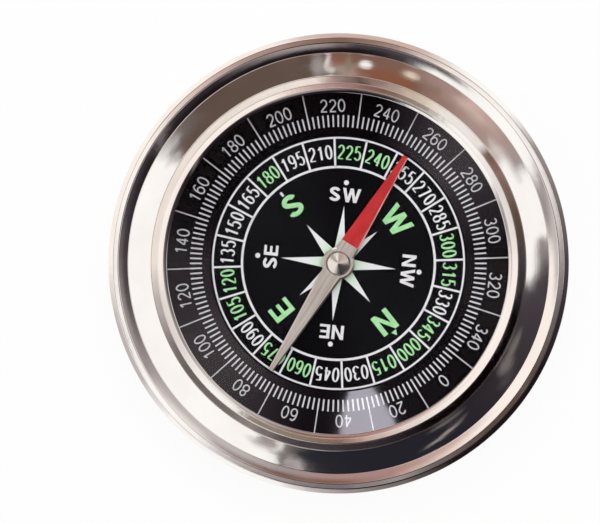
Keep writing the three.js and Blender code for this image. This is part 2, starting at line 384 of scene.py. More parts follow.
def table_disc(name, radius, depth):
    """Flat disc a hair under the base of the compass."""
    mesh = bpy.data.meshes.new(name)
    disc = add_object(name, mesh)
    corners = circle(radius, 64, -depth)
    mesh.from_pydata(corners, [], [range(len(corners))])
    print(name, "radius in m", radius)
    return disc


def bare_material(piece, name):
    """New material on a piece, without nodes: its empty node tree."""
    material = bpy.data.materials.new(name)
    material.use_nodes = True
    material.node_tree.nodes.clear()
    piece.data.materials.append(material)
    return material.node_tree


def hide_from(thing, *rays):
    for kind in rays:
        setattr(thing, "visible_" + kind, False)


# %% White floor
table_white = (0.92, 0.92, 0.92, 1)
glow_share = 0.94  # how much of the floor's white is given directly
floor = table_disc("floor", 1.5, 0.02 * mm)
table = bare_material(floor, "white_table")
ray = node_of(table, "LightPath")
direct = sum_of(table, "MAXIMUM", ray.outputs["Is Camera Ray"], ray.outputs["Is Transmission Ray"])
direct = sum_of(table, "MULTIPLY", direct, glow_share)
lit = node_of(table, "BsdfDiffuse", Color=table_white)
glow = node_of(table, "Emission", Color=white, Strength=1.0)
show_mix(table, direct, lit, glow, "OutputMaterial")
hide_from(floor, "glossy")

# %% The table close to the compass, for mirrors alone
fade_start = 34 * mm
fade_end = 50 * mm
near_floor = table_disc("near_floor", 0.056, 0.01 * mm)
near_table = bare_material(near_floor, "near_table")
place = node_of(near_table, "TexCoord").outputs["Object"]
reach = vector_of(near_table, "LENGTH", place).outputs["Value"]
gone = fade(near_table, reach, fade_start, fade_end)
lit = node_of(near_table, "BsdfDiffuse", Color=table_white)
clear = node_of(near_table, "BsdfTransparent")
show_mix(near_table, gone, lit, clear, "OutputMaterial")
hide_from(near_floor, "camera", "diffuse", "transmission", "shadow")
print("the table for mirrors fades out", round(fade_end / mm), "mm from the axis")

# %% Window lamp and fill lamp
daylight = (0.92, 0.97, 1.0)


def add_lamp(name, turn, height, wide, high, energy):
    """Oval lamp a metre away, in a direction of the leaning room."""
    lamp_data = bpy.data.lights.new(name, "AREA")
    lamp_data.shape = "ELLIPSE"
    lamp_data.size = wide
    lamp_data.size_y = high
    lamp_data.energy = energy
    lamp_data.color = daylight
    lamp = add_object(name, lamp_data)
    up = math.radians(height)
    lamp.location = lean @ (in_picture(turn) * math.cos(up) + Vector((0, 0, math.sin(up))))
    lamp.rotation_euler = lamp.location.to_track_quat("Z", "Y").to_euler()
    print(name, "at", [round(x, 3) for x in lamp.location])
    return lamp


window_lamp = add_lamp("window_lamp", 259.3, 52.5, 0.205, 0.335, 1.5)
fill_lamp = add_lamp("fill_lamp", 312, 70, 0.7, 0.7, 4.2)
hide_from(fill_lamp, "glossy", "transmission")

# %% [markdown]
# ## Turning a section
# Nearly every piece of a compass is round: it is spun on a lathe or pressed in a round die. So one helper
# draws a section line with rounded corners, one moves that line sideways by the thickness of the sheet, and
# one turns the closed section about the upright axis. Blender's Screw modifier would turn it too, but a mesh
# made point by point has no seam and no doubled points. A Weighted Normal modifier keeps the flat stretches
# flat in the reflections, which matters on a mirror finish.

# %% Rounded section line
arc_step = math.radians(5)


def rounded_line(corners, least=0.0):
    """Line through corners (radius, height, rounding), each inner one rounded as far as there is room."""
    at = [Vector(corner[:2]) for corner in corners]
    line = [at[0]]
    for i in range(1, len(at) - 1):
        to_last = at[i - 1] - at[i]
        to_next = at[i + 1] - at[i]
        room_back = to_last.length * (0.95 if i == 1 else 0.49)
        room_on = to_next.length * (0.95 if i == len(at) - 2 else 0.49)
        to_last.normalize()
        to_next.normalize()
        half_angle = to_last.angle(to_next) / 2
        setback = min(max(corners[i][2], least) / math.tan(half_angle), room_back, room_on)
        radius = setback * math.tan(half_angle)
        centre = at[i] + (to_last + to_next).normalized() * radius / math.sin(half_angle)
        start = at[i] + to_last * setback - centre
        end = at[i] + to_next * setback - centre
        sweep = math.atan2(start.x * end.y - start.y * end.x, start.dot(end))
        steps = max(2, math.ceil(abs(sweep) / arc_step))
        for k in range(steps + 1):
            line.append(centre + Matrix.Rotation(sweep * k / steps, 2) @ start)
    line.append(at[-1])
    return line


# %% Other side of the sheet
def offset_line(line, distance):
    """The line moved sideways, to its left where the distance is positive."""
    sides = []
    for a, b in zip(line, line[1:]):
        run = (b - a).normalized()
        sides.append(Vector((-run.y, run.x)))
    moved = []
    for i, point in enumerate(line):
        after = sides[min(i, len(sides) - 1)]
        mitre = (sides[max(i - 1, 0)] + after).normalized()
        moved.append(point + mitre * distance / mitre.dot(after))
    return moved


def gap_to_line(point, line):
    """Shortest way from a point to a line."""
    gaps = []
    for a, b in zip(line, line[1:]):
        run = b - a
        share = min(max((point - a).dot(run) / run.length_squared, 0), 1)
        gaps.append((a + run * share - point).length)
    return min(gaps)


def underside(skin, thickness):
    """Other side of a sheet, run backwards, without the points that fold over in tight bends."""
    near = abs(thickness) * 0.99
    return [point for point in offset_line(skin, thickness)[::-1] if gap_to_line(point, skin) > near]


sheet = 0.5
inner_bend = sheet + 0.06  # least rounding of a skin whose other side is wanted
print("sheet in mm", sheet)

# %% Turning
turn_steps = 192


def turned_piece(name, section, steps=turn_steps, sharp=40):
    """Closed section of (radius, height) in mm, turned about the upright axis."""
    bm = bmesh.new()
    rings = []
    for radius, level in section:
        points = circle(radius * mm, 1 if radius < 1e-6 else steps, level * mm)
        rings.append([bm.verts.new(point) for point in points])
    for ring, after in zip(rings, rings[1:] + rings[:1]):
        if len(ring) == 1 and len(after) == 1:
            continue
        for k in range(steps):
            corners = [ring[k % len(ring)], ring[(k + 1) % len(ring)]]
            corners += [after[(k + 1) % len(after)], after[k % len(after)]]
            bm.faces.new(dict.fromkeys(corners))
    bmesh.ops.recalc_face_normals(bm, faces=bm.faces)
    return finished_mesh(name, bm, sharp)


def finished_mesh(name, bm, sharp):
    """Mesh object with smooth shading that breaks at edges sharper than the angle."""
    mesh = bpy.data.meshes.new(name)
    bm.to_mesh(mesh)
    bm.free()
    mesh.shade_smooth()
    mesh.set_sharp_from_angle(angle=math.radians(sharp))
    piece = add_object(name, mesh)
    weighted = piece.modifiers.new("flat_stays_flat", "WEIGHTED_NORMAL")
    weighted.keep_sharp = True
    print(name, len(mesh.vertices), "points", len(mesh.polygons), "faces")
    return piece


# %% Sizes of the solids
def top_of(node):
    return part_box(node)[1].z / mm


def bottom_of(node):
    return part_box(node)[0].z / mm


def radius_of(node):
    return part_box(node)[1].x / mm


# %% [markdown]
# ## Polished steel
# Stainless sheet is polished on a wheel, so it mirrors well but never perfectly. The colour hardly varies.
# Roughness carries the finish here: a slow noise makes it uneven, and a bump far too small to see as a shape
# makes the reflections swim a little. Nearly every finish of this lesson is built this way, from a noise that
# moves colour and roughness together.

# %% Helpers for finishes
def new_finish(name):
    """New material: the material, its node tree and its main shader."""
    material = bpy.data.materials.new(name)
    material.use_nodes = True
    print("finish", name)
    return material, material.node_tree, material.node_tree.nodes["Principled BSDF"]


def noise_of(tree, spots, detail, bearing=0, stretch=1):
    """Noise with so many spots to the metre, drawn out along a bearing where the stretch is under 1."""
    place = node_of(tree, "TexCoord").outputs["Object"]
    turned = node_of(tree, "Mapping", Vector=place, Rotation=(0, 0, math.radians(bearing)))
    drawn = node_of(tree, "Mapping", Vector=turned.outputs[0], Scale=(1, stretch, 1))
    return node_of(tree, "TexNoise", Vector=drawn.outputs[0], Scale=spots, Detail=detail).outputs[0]


def bump_of(tree, height, strength, depth):
    bump = node_of(tree, "Bump", Height=height, Strength=strength, Distance=depth)
    fill(tree, tree.nodes["Principled BSDF"], Normal=bump.outputs[0])


def finish(name, noise, dark, light, smooth, rough, ends=(0.3, 0.7), rough_ends=(0.3, 0.7), grain=None,
           **inputs):
    """Material in which a noise moves colour and roughness. The grain is a noise, a strength and a depth."""
    material, tree, shader = new_finish(name)
    patch = noise_of(tree, *noise)
    tint = ramp_of(tree, patch, [(ends[0], dark), (ends[1], light)])
    fill(tree, shader, Base_Color=tint, Roughness=fade(tree, patch, *rough_ends, smooth, rough), **inputs)
    if grain:
        bump_of(tree, noise_of(tree, *grain[0]), *grain[1:])
    return material


def dress(piece, material, body, slot, *nodes):
    """Gives a piece its finish, the body it moves with, and the solids it stands for."""
    piece.data.materials.append(material)
    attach(piece, body)
    if nodes:
        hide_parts(*nodes)
    return piece


# %% Steel finish
steel = finish("polished_steel", (160, 3.0), (0.80, 0.775, 0.75), (0.86, 0.84, 0.82), 0.04, 0.09,
               rough_ends=(0.25, 0.75), grain=((420, 3.0), 0.03, 0.2 * mm), Metallic=1.0)

# %% [markdown]
# ## The bezel
# The bezel is one strip of sheet pressed into a ring: a lip turned in over the glass, a round bead, a steep
# flank, a sloping band, a valley, and a flat hem that the case is curled over. Drawing only its upper skin
# and giving the sheet its thickness afterwards is how it is really made, and keeps the wall even. Band, hem
# and lip are a little bowed, because a press never leaves them quite flat, and a mirror shows it.

# %% Radii and heights of the bezel
seat_gap = 0.05
rim_radius = radius_of("rear_case")
curl_width = 1.65
hem_radius = rim_radius - curl_width
valley_radius = rim_radius - 3.2
foot_radius = valley_radius - 3.85
bead_radius = foot_radius - 1.25
bead_inner = bead_radius - 0.87
crest = top_of("bezel")
bead_fall = 0.0645  # how much lower the bead is at its outer edge
lip_end = top_of("crystal_gasket") + seat_gap
band_slope = math.radians(25)
valley = crest - 5.6
foot = valley + (valley_radius - foot_radius) * math.tan(band_slope)
hem = valley + 0.36
print("band from", round(foot_radius, 2), "to", round(valley_radius, 2), "mm")

# %% Band, hem and lip
as_round_as_can_be = 20
band_bulge = 0.05  # how far the middle of the band stands out
hem_arch = 0.012
lip_slants = [(11.5, 0.3), (13, 0.15), (14.5, 0.15)]  # degrees, and how wide in mm
lip_slants += [(slant, 0.022) for slant in (18, 22, 26, 30, 33)]


def bowed(start, end, steps, rise):
    """Corners between two points (radius, height), on a line whose middle stands out by the rise."""
    corners = []
    for step in range(1, steps):
        share = step / steps
        level = start[1] + (end[1] - start[1]) * share + 4 * rise * share * (1 - share)
        corners.append((start[0] + (end[0] - start[0]) * share, level, as_round_as_can_be))
    return corners


band = bowed((foot_radius, foot), (valley_radius, valley), 8, band_bulge / math.cos(band_slope))
hem_arc = bowed((valley_radius, valley), (hem_radius, hem), 6, hem_arch)
lip = [(bead_inner, crest, 1.0)]
for slant, wide in lip_slants:
    radius, level = lip[-1][:2]
    lip.append((radius - wide, level - wide * math.tan(math.radians(slant)), as_round_as_can_be))
print("lip starts at", round(lip[-1][0], 2), "mm")

# %% Pressed bezel
lip_edge = [Vector((lip[-1][0], lip_end))]
bezel_corners = [
    *lip[::-1],
    (bead_radius, crest - bead_fall, 0.2),
    (foot_radius, foot, 0.3),
    *band,
    (valley_radius, valley, 0.2),
    *hem_arc,
    (hem_radius, hem, 0.5),
    (rim_radius - 1.35, hem),
]
bezel_skin = lip_edge + rounded_line(bezel_corners)
bezel_under = underside(lip_edge + rounded_line(bezel_corners, inner_bend), -sheet)
bezel = turned_piece("bezel_pressing", bezel_skin + bezel_under)
dress(bezel, steel, "case", "polished_steel", "bezel")

# %% [markdown]
# ## The case
# The case is drawn from one disc of sheet: a flat base, a cup, a brim under the bezel and a rim that is
# curled up and over the bezel's hem. That curl is all that holds the compass together, so there is no
# screw. The window lamp is kept out of the steel: in a real room the camera would stand before it.

# %% Drawn case with its curled rim
brim = bottom_of("bezel") - seat_gap - sheet
wall_radius = rim_radius - 5.25
base_radius = wall_radius - 0.6
curl_top = top_of("rear_case")
case_corners = [
    (0, 0),
    (base_radius, 0, 5.0),
    (wall_radius, brim, 0.9),
    (rim_radius, brim, 0.55),
    (rim_radius, curl_top - 0.85, 0.7),
    (rim_radius - 0.75, curl_top - 0.1, 0.4),
    (hem_radius + 0.12, curl_top),
]
curl_nose = [Vector((hem_radius, curl_top - 0.14))]
case_under = underside(rounded_line(case_corners, inner_bend), sheet)
cup = turned_piece("drawn_case", rounded_line(case_corners) + curl_nose + case_under)
dress(cup, steel, "case", "polished_steel", "rear_case")

# %% Keep the window lamp out of the steel
mirrors = bpy.data.collections.new("mirrors")
for piece in (bezel, cup):
    mirrors.objects.link(piece)
for item in mirrors.collection_objects:
    item.light_linking.link_state = "EXCLUDE"
window_lamp.light_linking.receiver_collection = mirrors

# %% [markdown]
# ## Degree ring and dial
# The degree ring is moulded in gloss black plastic with a slope that faces the reader. The dial is a flat
# disc in satin black enamel. Black things are easy to make too grey: their shine is kept low, because a
# strong one would wash out the print under a bright ceiling.

# %% Black finishes
ring_black = finish("gloss_black", (120, 3.0), (0.001, 0.0008, 0.001), (0.003, 0.002, 0.0025), 0.05, 0.075,
                    grain=((400, 2.0), 0.01, 0.02 * mm), Specular_IOR_Level=0.6,
                    Specular_Tint=(1.0, 0.9, 1.0, 1))
enamel_black = finish("satin_enamel", (90, 3.0), (0.002, 0.002, 0.003), (0.004, 0.004, 0.006), 0.36, 0.54,
                      grain=((9000, 2.0), 0.03, 0.02 * mm), Specular_IOR_Level=0.02)

# %% Degree ring
dial_top = top_of("dial_plate")
seat_level = top_of("degree_ring")
ring_inner = 20.9
ring_toe = dial_top + seat_gap
ring_edge = ring_toe + 0.35
slope_top = seat_level - 0.3
ring_outer = radius_of("degree_ring")
ring_wall = ring_outer - 0.6
ring_dip = 0.05  # how far the middle of the slope lies under a straight line


def slope_level(radius):
    """Height of the printed slope at a radius."""
    share = (radius - ring_inner) / (ring_wall - ring_inner)
    return ring_edge + share * (slope_top - ring_edge) - 4 * ring_dip * share * (1 - share)


slope_radii = [ring_inner + (ring_wall - ring_inner) * k / 12 for k in range(13)]
ring_bottom = bottom_of("degree_ring")
ring_wide = 0.9
ring_section = [
    (ring_inner, ring_toe), *((radius, slope_level(radius)) for radius in slope_radii),
    (ring_wall, seat_level), (ring_outer, seat_level), (ring_outer, ring_bottom), (ring_wall, ring_bottom),
    (ring_wall, slope_top - ring_wide), (ring_inner + ring_wide, ring_toe),
]
ring = turned_piece("degree_scale_ring", ring_section, sharp=8)
dress(ring, ring_black, "case", "ring_plastic", "degree_ring")

# %% Dial plate
hole_radius = 0.95
dial_radius = radius_of("dial_plate")
dial_section = [(hole_radius, bottom_of("dial_plate")), (dial_radius, bottom_of("dial_plate")),
                (dial_radius, dial_top), (hole_radius, dial_top)]
dial = turned_piece("dial_disc", dial_section)
dress(dial, enamel_black, "case", "dial_enamel", "dial_plate")

# %% [markdown]
# ## Drawing with a pen
# The print could be made with Blender's text object, but its letters would be one fixed face. Here every
# figure is a few pen lines. A pen that is as broad as it is high gives plain figures, and a pen that is
# broader than it is high gives figures with thick uprights and thin turns, as in an old book. Each line is
# a ribbon, and each ribbon becomes a thin solid of ink that is laid on the dial or on the slope.

# %% Figures as pen lines
def arc(x, y, wide, high, start, end):
    """Points of an ellipse about (x, y), from one angle to another in degrees."""
    steps = max(3, round(abs(end - start) / 12))
    angles = [math.radians(start + (end - start) * k / steps) for k in range(steps + 1)]
    return [(x + wide * math.cos(a), y + high * math.sin(a)) for a in angles]


figures = {  # pen lines in a box 0.58 wide and 1 high
    "0": [arc(0.29, 0.5, 0.29, 0.5, 90, 450)],
    "1": [[(0.36, 0), (0.36, 1)], [(0.12, 0.76), (0.36, 0.97)]],
    "2": [arc(0.29, 0.71, 0.27, 0.29, 165, -35) + [(0.03, 0.03)], [(0, 0), (0.58, 0)]],
    "3": [arc(0.27, 0.755, 0.24, 0.245, 150, -80), arc(0.27, 0.265, 0.29, 0.265, 80, -155)],
    "4": [[(0.43, 0), (0.43, 1)], [(0.40, 0.96), (0.02, 0.3)], [(0, 0.27), (0.6, 0.27)]],
    "5": [[(0.54, 1), (0.1, 1)], [(0.12, 1), (0.07, 0.52)], arc(0.28, 0.32, 0.3, 0.32, 128, -150)],
    "6": [arc(0.32, 0.5, 0.3, 0.5, 55, 180) + [(0.02, 0.31)], arc(0.3, 0.31, 0.28, 0.31, 90, 450)],
    "7": [[(0, 1), (0.58, 1)], [(0.55, 0.98), (0.2, 0)]],
    "8": [arc(0.29, 0.755, 0.235, 0.245, 90, 450), arc(0.29, 0.265, 0.29, 0.265, 90, 450)],
    "9": [arc(0.28, 0.69, 0.28, 0.31, 90, 450), arc(0.26, 0.5, 0.3, 0.5, -125, 0) + [(0.56, 0.69)]],
}
figure_width = 0.58
print("figures", *figures)


# %% Ribbons of the pen
def ribbon(line, pen):
    """Both edges of a pen line, as pairs of points. A line that ends where it starts is closed."""
    points = [Vector(p) for p in line]
    closed = (points[0] - points[-1]).length < 1e-6
    if closed:
        points.pop()
    last = len(points) - 1
    pairs = []
    for i, point in enumerate(points):
        before = points[i - 1] if closed or i > 0 else point
        after = points[(i + 1) % len(points)] if closed or i < last else point
        run = (after - before).normalized()
        side = Vector((-run.y * pen[0], run.x * pen[1]))
        pairs.append((point + side, point - side))
    return pairs + pairs[:1] if closed else pairs


def number_ribbons(text, high, wide, gap, pen):
    """Ribbons of a number, centred on (0, 0): figures so high and wide in mm, with a gap between them."""
    tall = high - 2 * pen[1]
    broad = wide - 2 * pen[0]
    step = wide + gap
    left = -(step * len(text) - gap) / 2 + pen[0]
    ribbons = []
    for place, figure in enumerate(text):
        for line in figures[figure]:
            laid = [(left + place * step + x / figure_width * broad, (y - 0.5) * tall) for x, y in line]
            ribbons.append(ribbon(laid, pen))
    return ribbons


# %% Letters
stem = 0.22
spine = arc(0.37, 0.725, 0.25, 0.175, 10, 240) + arc(0.37, 0.275, 0.265, 0.175, 60, -170)
bold_letters = {  # width, and outline or ribbon in a box 1 high
    "N": (0.84, [(0, 0), (stem, 0), (stem, 0.66), (0.62, 0), (0.84, 0), (0.84, 1), (0.62, 1), (0.62, 0.34),
                 (stem, 1), (0, 1)]),
    "E": (0.72, [(0, 0), (0.72, 0), (0.72, 0.18), (stem, 0.18), (stem, 0.42), (0.66, 0.42), (0.66, 0.59),
                 (stem, 0.59), (stem, 0.82), (0.7, 0.82), (0.7, 1), (0, 1)]),
    "S": (0.76, ribbon(spine, (0.12, 0.1))),
    "W": (1.3, [(0, 1), (0.27, 0), (0.5, 0), (0.65, 0.6), (0.8, 0), (1.03, 0), (1.3, 1), (1.08, 1),
                (0.915, 0.36), (0.76, 1), (0.54, 1), (0.385, 0.36), (stem, 1)]),
}
print("letters", *bold_letters)


# %% Moving shapes
def moved(shape, shift, change):
    """Point, shape or list of shapes: each point is shifted, then turned or scaled by a matrix."""
    if isinstance(shape[0], (int, float)):
        return change @ (Vector(shape) + shift)
    return [moved(part, shift, change) for part in shape]


def letter_shapes(text, high, gap):
    """Bold letters so high in mm, centred on (0, 0)."""
    x = -sum(bold_letters[letter][0] + gap for letter in text) / 2 + gap / 2
    shapes = []
    for letter in text:
        wide, shape = bold_letters[letter]
        shapes.append(moved(shape, Vector((x, -0.5)), Matrix.Scale(high, 2)))
        x += wide + gap
    return shapes


# %% [markdown]
# ## Ink on the dial
# A printed mark is thin, but it is still a solid: it stands two hundredths of a millimetre over the
# enamel. Made as a mesh it stays sharp from any distance, and no picture has to be wrapped round the dial.
# Marks that share a colour become one piece. Each outline or ribbon is made flat, given its thickness,
# and moved up to the surface below it, which for the degree ring is a slope.

# %% Marks and where they go
def at_bearing(shapes, bearing, radius):
    """Shapes moved out to a radius and turned, so that their tops point outwards at that bearing."""
    return moved(shapes, Vector((0, radius)), Matrix.Rotation(-math.radians(bearing), 2))


def bar(low, high, wide):
    """Ribbon of a straight upright mark, from one height to another."""
    return [(Vector((-wide / 2, y)), Vector((wide / 2, y))) for y in (low, high)]


def circle_ribbon(radius, wide, steps=turn_steps):
    spots = [k * math.tau / steps for k in range(steps + 1)]
    spokes = [Vector((math.sin(a), math.cos(a))) for a in spots]
    return [(spoke * (radius - wide / 2), spoke * (radius + wide / 2)) for spoke in spokes]


def dial_level(radius):
    return dial_top


# %% Ink as a thin solid
ink_sunk = 0.01
ink_proud = 0.02
ink_stagger = 0.0005  # lines that cross lie at slightly different heights


def flat_faces(bm, shape, level):
    """Faces of one outline or ribbon, in mm, at that height."""
    if isinstance(shape[0], Vector):
        bm.faces.new([bm.verts.new((p.x, p.y, level)) for p in shape])
        return
    closed = (shape[0][0] - shape[-1][0]).length < 1e-6
    rows = shape[:-1] if closed else shape
    verts = [[bm.verts.new((p.x, p.y, level)) for p in pair] for pair in rows]
    for a, b in zip(verts, verts[1:] + (verts[:1] if closed else [])):
        bm.faces.new((a[0], a[1], b[1], b[0]))


def ink_piece(name, shapes, material, surface=dial_level, slot="dial_enamel"):
    """One piece of ink from flat shapes in mm, laid on a surface given as height by radius."""
    bm = bmesh.new()
    for count, shape in enumerate(shapes):
        flat_faces(bm, shape, (count % 4) * ink_stagger)
    solid = bmesh.ops.extrude_face_region(bm, geom=bm.faces[:], use_keep_orig=True)
    raised = [v for v in solid["geom"] if isinstance(v, bmesh.types.BMVert)]
    bmesh.ops.translate(bm, verts=raised, vec=(0, 0, ink_sunk + ink_proud))
    for v in bm.verts:
        v.co.z += surface(math.hypot(v.co.x, v.co.y)) - ink_sunk
        v.co *= mm
    bmesh.ops.recalc_face_normals(bm, faces=bm.faces)
    return dress(finished_mesh(name, bm, 20), material, "case", slot)


# %% Inks
def ink(name, thin, full, smooth, rough, shine):
    """Printing ink, a little thinner in places."""
    return finish(name, (1400, 4.0), thin, full, smooth, rough, (0.3, 0.6), Specular_IOR_Level=shine)


white_ink = ink("white_ink", (0.72, 0.72, 0.75), (0.84, 0.84, 0.86), 0.45, 0.63, 0.2)
green_ink = ink("green_ink", (0.30, 0.72, 0.30), (0.44, 0.82, 0.42), 0.45, 0.63, 0.2)
scale_ink = ink("scale_ink", (0.56, 0.56, 0.60), (0.68, 0.68, 0.72), 0.05, 0.07, 0.6)
figure_ink = ink("figure_ink", (0.48, 0.485, 0.51), (0.62, 0.625, 0.66), 0.05, 0.07, 0.6)

# %% [markdown]
# ## The bearing ring and the letters
# A ring of 24 boxes holds the bearings, one for every 15 degrees, in white and green. Inside it stand the
# letters of the winds: the four main ones large and green, the four between them small and white, each of
# those with a dot. A small pointer marks north and a short dash marks south.

# %% Bearing ring
ring_in = 15.7
ring_out = 20.46
box_step = 15
box_line = 0.34
lines = [circle_ribbon(ring_in, 0.39), circle_ribbon(ring_out, 0.31)]
for box in range(360 // box_step):
    lines += at_bearing([bar(ring_in, ring_out, box_line)], (box + 0.5) * box_step, 0)
ink_piece("bearing_boxes", lines, white_ink)

# %% Bearings in the boxes
green_bearings = {0, 15, 60, 75, 105, 120, 180, 225, 240, 300, 315, 345}
bearing_size = (2.35, 1.2, 0.16)  # height, width and gap of the figures
bearing_pen = (0.17, 0.09)
bearing_radius = 18.1
box_numbers = {"white": [], "green": []}
for bearing in range(0, 360, box_step):
    figures_here = number_ribbons(f"{bearing:03d}", *bearing_size, bearing_pen)
    colour = "green" if bearing in green_bearings else "white"
    box_numbers[colour] += at_bearing(figures_here, bearing, bearing_radius)
ink_piece("bearings_white", box_numbers["white"], white_ink)
ink_piece("bearings_green", box_numbers["green"], green_ink)

# %% Winds
main_high = 3.7
between_high = 2.3
between_gap = 0.15
dot = [point[:2] for point in circle(0.41, 16)]
pointer = [(-0.5, -0.4), (0.5, -0.4), (0, 0.5)]
dash = bar(-0.4, 0.4, 0.4)
main_winds = []
for letter, bearing, radius in (("N", 1, 12.2), ("E", 90, 12.0), ("S", 181, 12.0), ("W", 273, 11.75)):
    main_winds += at_bearing(letter_shapes(letter, main_high, 0), bearing, radius)
main_winds += at_bearing([pointer], 0, 14.6)
between_winds = []
between = [("NE", 45, 11.2), ("SE", 135, 11.1), ("SW", 225, 11.2), ("NW", 315.5, 11.4)]
for letters, bearing, radius in between:
    between_winds += at_bearing(letter_shapes(letters, between_high, between_gap), bearing, radius)
    between_winds += at_bearing([dot], bearing, 13.2)
between_winds += at_bearing([dash], 180, 14.5)
ink_piece("main_winds", main_winds, green_ink)
ink_piece("between_winds", between_winds, white_ink)

# %% [markdown]
# ## The star
# An eight-pointed star lies in the middle of the dial, its points thin and sharp. They are white at the
# tips and run into pale green near the middle, which is a blend in the print. A colour ramp by distance
# from the axis gives that blend without any picture.

# %% Star finish
def distance_from_axis(tree):
    """How far a place on the piece lies from the upright axis."""
    level = vector_of(tree, "MULTIPLY", node_of(tree, "TexCoord").outputs["Object"], (1, 1, 0)).outputs[0]
    return vector_of(tree, "LENGTH", level).outputs["Value"]


star_far = 10
star_blend = [(2.4, (0.55, 0.76, 0.53)), (3.5, (0.72, 0.85, 0.71)), (5.0, (0.84, 0.87, 0.86))]
star_ink, tree, shader = new_finish("star_ink")
reach = fade(tree, distance_from_axis(tree), 0, star_far * mm, kind="LINEAR")
tint = ramp_of(tree, reach, [(radius / star_far, colour) for radius, colour in star_blend])
polish = fade(tree, noise_of(tree, 1400, 3.0), 0.3, 0.7, 0.45, 0.6)
fill(tree, shader, Base_Color=tint, Roughness=polish, Specular_IOR_Level=0.2)

# %% Star
main_tip = 8.15
between_tip = 9.4
star_valley = 2.34
star = []
for k in range(8):
    star += at_bearing([(0, 0)], k * 45, between_tip if k % 2 else main_tip)
    star += at_bearing([(0, 0)], k * 45 + 22.5, star_valley)
ink_piece("dial_star", [star], star_ink)

# %% [markdown]
# ## The degree scale
# The scale on the slope has a mark every two degrees, a long thin line at every odd ten, and a number at
# every even ten. It was pressed in as a separate ring, and sits a few degrees off the dial's north, as such
# rings often do.

# %% Degree scale
scale_turn = -2.7
mark = bar(22.2, 24.1, 0.26)
long_mark = bar(24.0, 27.7, 0.2)
number_size = (2.1, 1.22, 0.22)
number_pen = (0.115, 0.115)
number_radius = 25.6
marks = []
for degree in range(0, 360, 2):
    marks += at_bearing([mark], degree + scale_turn, 0)
ink_piece("degree_marks", marks, scale_ink, slope_level, "ring_plastic")
tens = []
for degree in range(10, 360, 20):
    tens += at_bearing([long_mark], degree + scale_turn, 0)
for degree in range(0, 360, 20):
    figures_here = number_ribbons(str(degree), *number_size, number_pen)
    tens += at_bearing(figures_here, degree + scale_turn, number_radius)
ink_piece("degree_numbers", tens, figure_ink, slope_level, "ring_plastic")

# %% [markdown]
# ## Glass
# The window is a flat disc of mineral glass. With a clear shader alone the dial would be dark and grainy,
# since light paths that bend through two faces are hard to find. So only the rays that come from the camera
# meet the glass: the light that falls on the dial, and what the gloss ring mirrors, pass it by. Its shine is
# held low, as on coated glass, to keep the black dial black under the bright ceiling.

# %% Glass finish on the crystal solid
glass, tree, shader = new_finish("clear_glass")
polish = fade(tree, noise_of(tree, 60, 3.0), 0.3, 0.7, 0.0, 0.012)
fill(tree, shader, Base_Color=white, Roughness=polish, Specular_IOR_Level=0.2)
fill(tree, shader, Transmission_Weight=1.0, IOR=1.09)


def finish_solid(node, material):
    """Gives a solid that is shown as it is its finish."""
    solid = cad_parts[node]
    solid.data.materials.clear()
    solid.data.materials.append(material)
    print(node, "finished as", material.name)
    return solid


crystal = finish_solid("crystal", glass)
hide_from(crystal, "shadow", "diffuse", "glossy")

# %% [markdown]
# ## The needle
# The needle is a strip of magnet steel, ground to a bevel along its edges. Its north arm is painted red, and
# the bevel on its east side is painted a lighter, pinker red, a painted highlight where light catches that
# edge. It is drawn along the north line, as it lies in the maker's jig, and turned to its bearing afterwards.
# Outlines that differ only by an inset give the side, the bevel and the flat, with the same number of points
# on each.

# %% Measures of the needle
needle_bearing = 251.6
needle_top = top_of("needle")
needle_bottom = bottom_of("needle")
needle_reach = 20.6
needle_half = 1.85
needle_tip = 0.425
boss_radius = 2.65
bevel = 0.28
bevel_drop = 0.12
paint_start = 3.65
needle_hole = 1.3
print("needle between", round(needle_bottom, 2), "and", round(needle_top, 2), "mm up")


# %% Needle outline
def needle_outline(inset):
    """Outline of the needle, moved in by the inset, from the north tip round by the east side."""
    reach = needle_reach - inset
    boss = boss_radius - inset
    tip = max(needle_tip - inset * 0.6, 0.06)
    half = needle_half - inset
    taper = (half - tip) / reach
    a = 1 + taper * taper
    b = -2 * half * taper
    c = half * half - boss * boss
    leave = (-b + math.sqrt(b * b - 4 * a * c)) / (2 * a)
    corner = math.atan2(leave, half - taper * leave)
    edge = half - taper * paint_start
    east = [(tip, reach), (edge, paint_start)]
    spots = [corner - 2 * corner * k / 16 for k in range(17)]
    east += [(boss * math.cos(s), boss * math.sin(s)) for s in spots]
    east += [(edge, -paint_start), (tip, -reach)]
    return east + [(-x, -y) for x, y in east]


